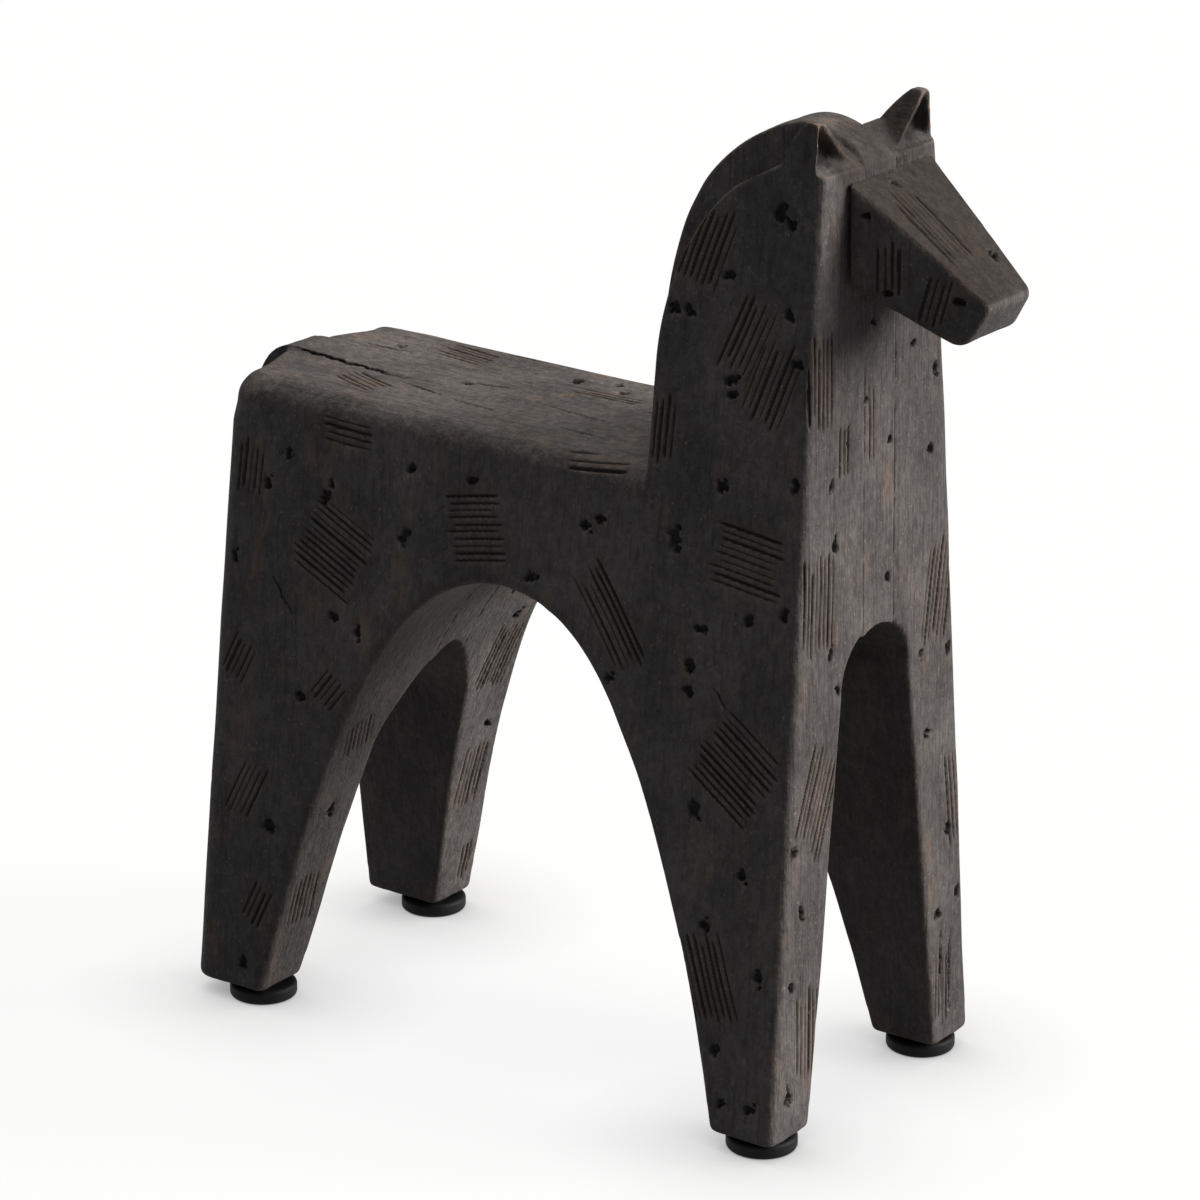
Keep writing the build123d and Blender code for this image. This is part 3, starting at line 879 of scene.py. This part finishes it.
class HorseCarving(bpy.types.PropertyGroup):
    """Sizes of the hand work on the wood"""

    spacing: length_prop("Point spacing", "Distance between the points that carry the carving", 0.0004)
    rounding: count_prop("Rounding", "Passes that wear the edges round", 8)
    corner_radius: length_prop("Rump corner", "Radius of the ball-shaped rump corners", 0.010)
    crisp_radius: length_prop("Rump edge", "Radius of the rump's top edge at the middle", 0.001)
    soft_passes: count_prop("Softening", "Passes that soften the brow and the leg ends", 36)
    ear_depth: length_prop("Ear depth", "Depth of the hollows in the ears", 0.0042)
    corner_place: place_prop("Rump corner place", "Middle of the left rump corner", (-0.1064, 0.029, 0.1888))
    wave_depth: length_prop("Wave depth", "How far the faces sink and swell", 0.0008)
    flow_depth: length_prop("Flow depth", "Depth of the long scraped hollows", 0.0004)
    chip_depth: length_prop("Chip depth", "Depth of chips along the edges", 0.0012)
    comb_pitch: length_prop("Comb pitch", "Distance between comb lines", 0.0021)
    comb_width: length_prop("Comb width", "Width of one comb line", 0.0011)
    comb_depth: length_prop("Comb depth", "Depth of one comb line", 0.0007)
    pit_depth: length_prop("Pit depth", "Depth of pits and cracks", 0.0016)
    triangles: count_prop("Triangles", "Triangles kept on the three boards", 400000)


class HorseFinish(bpy.types.PropertyGroup):
    """Colours of the wood, the rubber and the fixings"""

    stain: colour_prop("Stain", "Ordinary stained wood", (0.136, 0.126, 0.121))
    dark_stain: colour_prop("Dark stain", "Where the stain lies thick", (0.086, 0.080, 0.078))
    mottle: colour_prop("Mottle", "Tint of the darker mottling", (0.62, 0.60, 0.60))
    # Thick stain tint, also used as painted shade on the left ear's inner face and to darken the muzzle's
    # root
    thick: colour_prop("Thick stain", "Tint where the stain has run together", (0.33, 0.295, 0.27))
    streak: colour_prop("Streak", "Dark streaks of grain", (0.046, 0.041, 0.038))
    # Bare brown wood on the edges, made lighter so that it also paints the edges' highlight
    rubbed_and_lit: colour_prop("Rubbed wood", "Bare brown wood on the edges", (0.235, 0.155, 0.105))
    dust: colour_prop("Dust", "Pale dust in the grain", (0.28, 0.21, 0.16))
    # Painted shade at the bottom of cuts, pits, cracks and the ears' hollows
    cut_shade: colour_prop("Cuts", "Bottom of cuts and pits", (0.010, 0.008, 0.007))
    dowel: colour_prop("Dowel", "Plain dowel wood", (0.55, 0.40, 0.24))
    dowel_grain: colour_prop("Dowel grain", "Grain of the dowel wood", (0.40, 0.26, 0.13))
    rubber: colour_prop("Rubber", "Black rubber feet", (0.004, 0.004, 0.0043))
    rubber_scuff: colour_prop("Scuffs", "Pale scuffs on the rubber", (0.014, 0.014, 0.0145))
    steel: colour_prop("Steel", "Zinc plated screws", (0.62, 0.62, 0.63))
    steel_dull: colour_prop("Dull steel", "Duller lines on the screws", (0.42, 0.42, 0.43))


class HorseStage(bpy.types.PropertyGroup):
    """Floor, light and camera"""

    floor_size: length_prop("Floor size", "Side of the floor", 8.0)
    front_light: number_prop("Front light", "Strength of the wide light in front", 4.8)
    top_light: number_prop("Top light", "Strength of the wide light above", 1.8)
    room_light: number_prop("Room light", "Strength of the even light all round", 0.195)
    floor_bounce: number_prop("Floor bounce", "Share of light the floor gives back", 0.06)
    floor_paper: number_prop("Floor paper", "Share of the white floor that shows shadow", 0.1)
    contact: number_prop("Contact shadow", "Darkness of the floor close under the feet", 0.75)
    contact_reach: length_prop("Contact reach", "How far the contact shadow reaches", 0.05)
    lens: number_prop("Lens", "Focal length on a 36 mm sensor, in mm", 136.35)
    azimuth: angle_prop("Azimuth", "Camera's bearing", -54.543)
    elevation: angle_prop("Elevation", "Camera's height angle", 18.698)
    roll: angle_prop("Roll", "Camera's tilt", 0.254)
    camera_place: place_prop("Camera", "Camera's place", (0.74155, -1.04678, 0.57204))


# Operators

class HORSE_OT_boards(bpy.types.Operator):
    """Carves the right side, the core and the left side as one surface, then parts them at their joints"""

    bl_idname = "horse.boards"
    bl_label = "Carve the boards"

    def execute(self, context):
        carving = context.scene.horse_carving
        spacing = carving.spacing * 1
        body = joined_copies("carved_body", BOARDS)
        body = with_modifier(body, "REMESH", mode="VOXEL", voxel_size=spacing, use_smooth_shade=True)
        if len(body.vertices) < 1000:
            raise RuntimeError("the boards gave no surface to carve")

        def shaped(points, edges):
            rump_rounding(points, carving.corner_place, carving.corner_radius, carving.crisp_radius)
            hollow_ears(points, carving.ear_depth)
            x, _, z = (points / MM).T
            brow = (x > BROW_FRONT) & (z > BROW_RISE[0]) & (z < BROW_RISE[1])
            softened(points, edges, brow, carving.soft_passes)
            softened(points, edges, z < LEG_END, carving.soft_passes)

        carve(
            body,
            carving,
            mirrored_marks(COMB_MARKS, "comb"),
            mirrored_marks(PITS, "pit"),
            CRACKS,
            shaped,
            hollows=((EAR_HOLLOW, EAR_RADIUS), ((EAR_HOLLOW[0], -EAR_HOLLOW[1], EAR_HOLLOW[2]), EAR_RADIUS)),
        )
        body = thinned(body, carving.triangles)
        # The boards part at the core's two faces
        low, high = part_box("core")
        wood = stained_wood(context.scene.horse_finish)
        for node, start, end in zip(BOARDS, (None, low.y, high.y), (low.y, high.y, None)):
            placed("carved_" + node, board_between(node, body, start, end), wood, "stained_wood", node)
        bpy.data.meshes.remove(body)
        return {"FINISHED"}


class HORSE_OT_muzzle(bpy.types.Operator):
    """Carves the muzzle wedge"""

    bl_idname = "horse.muzzle"
    bl_label = "Carve the muzzle"

    def execute(self, context):
        carving = context.scene.horse_carving
        muzzle = joined_copies("carved_muzzle", ("muzzle",))
        spacing = carving.spacing * 1
        muzzle = with_modifier(muzzle, "REMESH", mode="VOXEL", voxel_size=spacing, use_smooth_shade=True)
        carve(muzzle, carving, MUZZLE_COMB_MARKS, MUZZLE_PITS, ())
        normals = read_normals(muzzle)
        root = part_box("muzzle")[0].x
        # Darker on the muzzle's upward faces, where the stain lies thick, and within about 2 mm of its root
        joint = 1 - soft_step(read_points(muzzle)[:, 0] - root, 0.0002, 0.0022)
        write_field(muzzle, "shade", np.maximum(soft_step(normals[:, 2], 0.1, 0.6), joint))
        placed("carved_muzzle", muzzle, stained_wood(context.scene.horse_finish), "stained_wood", "muzzle")
        return {"FINISHED"}


class HORSE_OT_feet(bpy.types.Operator):
    """Turns the four rubber feet"""

    bl_idname = "horse.feet"
    bl_label = "Fit the rubber feet"

    def execute(self, context):
        rubber = foot_rubber(context.scene.horse_finish)
        for foot in FEET:
            low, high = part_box(foot + "_pad")
            centre = ((low.x + high.x) / 2, (low.y + high.y) / 2, low.z)
            radius = (high.x - low.x) / 2
            height = high.z - low.z
            bend = np.linspace(0, math.pi / 2, 9)
            edge = PAD_EDGE
            lower = np.stack([radius - edge + edge * np.sin(bend), edge - edge * np.cos(bend)], 1)
            upper = np.stack([radius - edge + edge * np.cos(bend), height - edge + edge * np.sin(bend)], 1)
            inner = np.array(
                [
                    (HOLE_RADIUS, height),
                    (HOLE_RADIUS, SEAT_DEPTH),
                    (SEAT_RADIUS, SEAT_DEPTH),
                    (SEAT_RADIUS, 0.0),
                    (radius - 3 * edge, 0.0),
                ]
            )
            mesh = revolved("rubber_" + foot, np.concatenate([lower, upper, inner]), centre, 96)
            placed("rubber_" + foot, mesh, rubber, "foot_rubber", foot + "_pad")
        return {"FINISHED"}


class HORSE_OT_fixings(bpy.types.Operator):
    """Finishes the hidden dowels and screws"""

    bl_idname = "horse.fixings"
    bl_label = "Finish the dowels and screws"

    def execute(self, context):
        finish = context.scene.horse_finish
        finishes = dict.fromkeys(DOWELS, dowel_wood(finish))
        finishes.update(dict.fromkeys((foot + "_screw" for foot in FEET), screw_steel(finish)))
        for name, material in finishes.items():
            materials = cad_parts[name].data.materials
            materials.clear()
            materials.append(material)
        return {"FINISHED"}


class HORSE_OT_stage(bpy.types.Operator):
    """Sets the white floor, the two wide lights, the room light and the camera"""

    bl_idname = "horse.stage"
    bl_label = "Set the stage"

    def execute(self, context):
        stage = context.scene.horse_stage
        self.floor(stage)
        self.lights(context.scene, stage)
        self.camera(context.scene, stage)
        context.scene.view_settings.view_transform = "Standard"
        return {"FINISHED"}

    def floor(self, stage):
        half = stage.floor_size / 2
        mesh = bpy.data.meshes.new("floor")
        corners = [(-half, -half, 0), (half, -half, 0), (half, half, 0), (-half, half, 0)]
        mesh.from_pydata(corners, [], [(0, 1, 2, 3)])
        nodes = Nodes("floor_white")
        ray = nodes.add("ShaderNodeLightPath")
        seen = nodes.math("MAXIMUM", ray.outputs["Is Camera Ray"], ray.outputs["Is Glossy Ray"])
        seen = nodes.math("MAXIMUM", seen, ray.outputs["Is Transmission Ray"])
        paper = nodes.add("ShaderNodeBsdfDiffuse")
        paper.inputs["Color"].default_value = (stage.floor_paper,) * 3 + (1,)
        bounce = nodes.add("ShaderNodeBsdfDiffuse")
        bounce.inputs["Color"].default_value = (stage.floor_bounce,) * 3 + (1,)
        glow = nodes.add("ShaderNodeEmission")
        lamps = stage.front_light * FRONT_LIGHT[2] + stage.top_light * TOP_LIGHT[2]
        white_level = 1.01 - stage.floor_paper * (lamps / math.pi + stage.room_light)
        near = nodes.add("ShaderNodeAmbientOcclusion")
        near.inputs["Distance"].default_value = stage.contact_reach
        open_share = nodes.math("MULTIPLY", near.outputs["AO"], stage.contact)
        open_share = nodes.math("ADD", open_share, 1 - stage.contact)
        nodes.join(nodes.math("MULTIPLY", open_share, white_level), glow.inputs["Strength"])
        white = nodes.add("ShaderNodeAddShader")
        nodes.join(paper.outputs[0], white.inputs[0])
        nodes.join(glow.outputs[0], white.inputs[1])
        both = nodes.add("ShaderNodeMixShader")
        nodes.join(seen, both.inputs[0])
        nodes.join(bounce.outputs[0], both.inputs[1])
        nodes.join(white.outputs[0], both.inputs[2])
        nodes.join(both.outputs[0], nodes.output.inputs["Surface"])
        mesh.materials.append(nodes.material)
        link(bpy.data.objects.new("floor", mesh))

    def lights(self, scene, stage):
        world = bpy.data.worlds.new("white_room")
        world.use_nodes = True
        tree = world.node_tree
        ray = tree.nodes.new("ShaderNodeLightPath")
        seen = tree.nodes.new("ShaderNodeMath")
        seen.operation = "MAXIMUM"
        tree.links.new(ray.outputs["Is Camera Ray"], seen.inputs[0])
        tree.links.new(ray.outputs["Is Transmission Ray"], seen.inputs[1])
        strength = tree.nodes.new("ShaderNodeMapRange")
        tree.links.new(seen.outputs[0], strength.inputs["Value"])
        strength.inputs["To Min"].default_value = stage.room_light
        strength.inputs["To Max"].default_value = 1.0
        back = tree.nodes["Background"]
        tint = tree.nodes.new("ShaderNodeMix")
        tint.data_type = "RGBA"
        tint.inputs[6].default_value = ROOM_TONE
        tint.inputs[7].default_value = (1, 1, 1, 1)
        tree.links.new(seen.outputs[0], tint.inputs[0])
        tree.links.new(tint.outputs[2], back.inputs["Color"])
        tree.links.new(strength.outputs[0], back.inputs["Strength"])
        scene.world = world
        for name, strength, tone, towards in (
            ("front_light", stage.front_light, FRONT_TONE, FRONT_LIGHT),
            ("top_light", stage.top_light, TOP_TONE, TOP_LIGHT),
        ):
            lamp = bpy.data.lights.new(name, "SUN")
            lamp.energy = strength
            lamp.angle = math.radians(LIGHT_SPREAD)
            lamp.color = tone
            light = link(bpy.data.objects.new(name, lamp))
            light.rotation_euler = Vector(towards).to_track_quat("Z", "Y").to_euler()

    def camera(self, scene, stage):
        lens = bpy.data.cameras.new("camera")
        lens.sensor_width = 36
        lens.lens = stage.lens
        camera = link(bpy.data.objects.new("camera", lens))
        bearing, height, roll = stage.azimuth, stage.elevation, stage.roll
        right = Vector((-math.sin(bearing), math.cos(bearing), 0))
        back = Vector(
            (math.cos(height) * math.cos(bearing), math.cos(height) * math.sin(bearing), math.sin(height))
        )
        up = back.cross(right)
        turned_right = math.cos(roll) * right + math.sin(roll) * up
        turned_up = math.cos(roll) * up - math.sin(roll) * right
        place = Matrix((turned_right, turned_up, back)).transposed().to_4x4()
        place.translation = stage.camera_place
        camera.matrix_world = place
        scene.camera = camera


class HORSE_PT_parts(bpy.types.Panel):
    """Shows the horse's operator buttons and its settings"""

    bl_idname = "HORSE_PT_parts"
    bl_label = "Carved Horse"
    bl_space_type = "VIEW_3D"
    bl_region_type = "UI"
    bl_category = "Horse"

    def draw(self, context):
        for operator in OPERATORS:
            self.layout.operator(operator.bl_idname)
        for settings in (context.scene.horse_carving, context.scene.horse_finish, context.scene.horse_stage):
            box = self.layout.box()
            for name in settings.__annotations__:
                box.prop(settings, name)


GROUPS = {"horse_carving": HorseCarving, "horse_finish": HorseFinish, "horse_stage": HorseStage}
OPERATORS = (HORSE_OT_boards, HORSE_OT_muzzle, HORSE_OT_feet, HORSE_OT_fixings, HORSE_OT_stage)


def register():
    for group in GROUPS.values():
        bpy.utils.register_class(group)
    for name, group in GROUPS.items():
        setattr(bpy.types.Scene, name, PointerProperty(type=group))
    for operator in OPERATORS:
        bpy.utils.register_class(operator)
    bpy.utils.register_class(HORSE_PT_parts)


def unregister():
    bpy.utils.unregister_class(HORSE_PT_parts)
    for operator in reversed(OPERATORS):
        bpy.utils.unregister_class(operator)
    for name in GROUPS:
        delattr(bpy.types.Scene, name)
    for group in GROUPS.values():
        bpy.utils.unregister_class(group)


def main():
    register()
    bpy.ops.horse.boards()
    bpy.ops.horse.muzzle()
    bpy.ops.horse.feet()
    bpy.ops.horse.fixings()
    bpy.ops.horse.stage()


if __name__ == "__main__":
    main()
